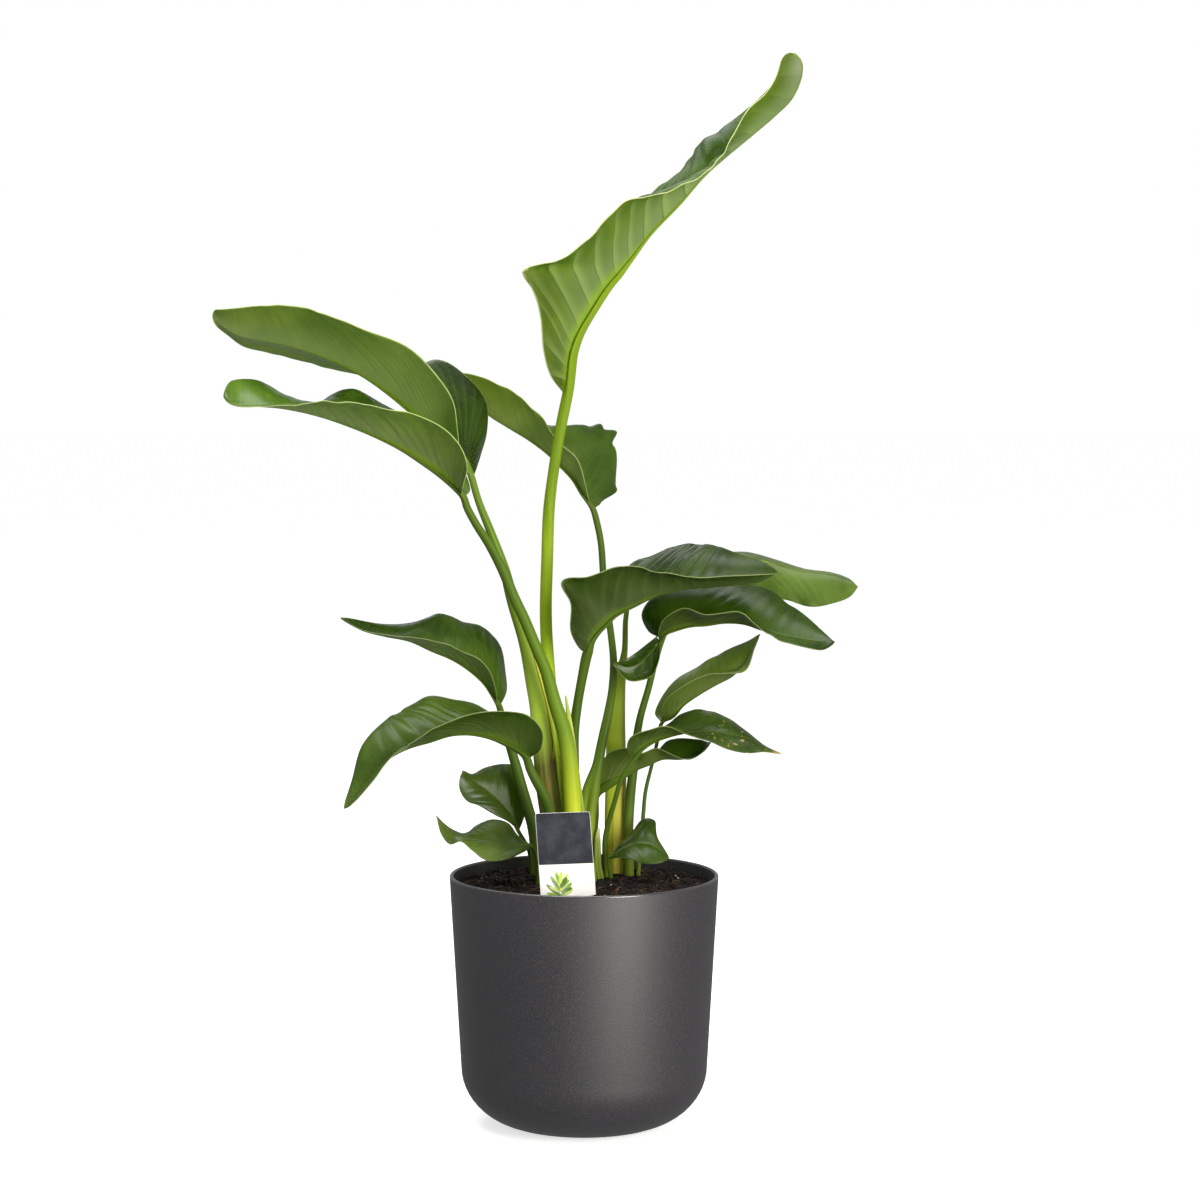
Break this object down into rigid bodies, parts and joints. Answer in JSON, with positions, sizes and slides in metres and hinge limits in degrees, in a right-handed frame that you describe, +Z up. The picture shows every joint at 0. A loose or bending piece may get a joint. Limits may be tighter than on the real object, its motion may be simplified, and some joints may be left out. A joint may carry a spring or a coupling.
{
  "type": "potted white bird of paradise",
  "caption": "Potted houseplant: long arching stalks carry folded, paddle-shaped leaves above soil in a round, slightly tapered pot with a rounded foot; a plain card label stands in the soil.",
  "frame": {"origin": "centre of the pot's flat underside", "axes": "+Z up along the pot's axis, +X to the side that the tallest leaf leans to, -Y to the front, where the label stands"},
  "size_m": [0.5334, 0.2559, 0.8731],
  "materials": {
    "pot": "satin anthracite, fine grain",
    "soil": "loose dark potting soil with fibres",
    "label": "printed card, satin",
    "leaf": "glossy leaf, paler below, with ribs curving from the midrib",
    "sheath": "pale yellow-green leaf base"
  },
  "bodies": {
    "root": {"pot": "pot", "soil": "soil", "plant_label": "label", "leaf_tall": "leaf", "leaf_upper_left": "leaf", "leaf_left": "leaf", "leaf_centre": "leaf", "leaf_right_top": "leaf", "leaf_far_right": "leaf", "leaf_right": "leaf", "leaf_right_small": "leaf", "leaf_right_low": "leaf", "leaf_right_behind": "leaf", "leaf_left_mid": "leaf", "leaf_left_low": "leaf", "leaf_low_left": "leaf", "leaf_bottom_left": "leaf", "leaf_bottom_right": "leaf", "sheath_stub": "sheath", "sheath_tip": "sheath"}
  },
  "joints": []
}
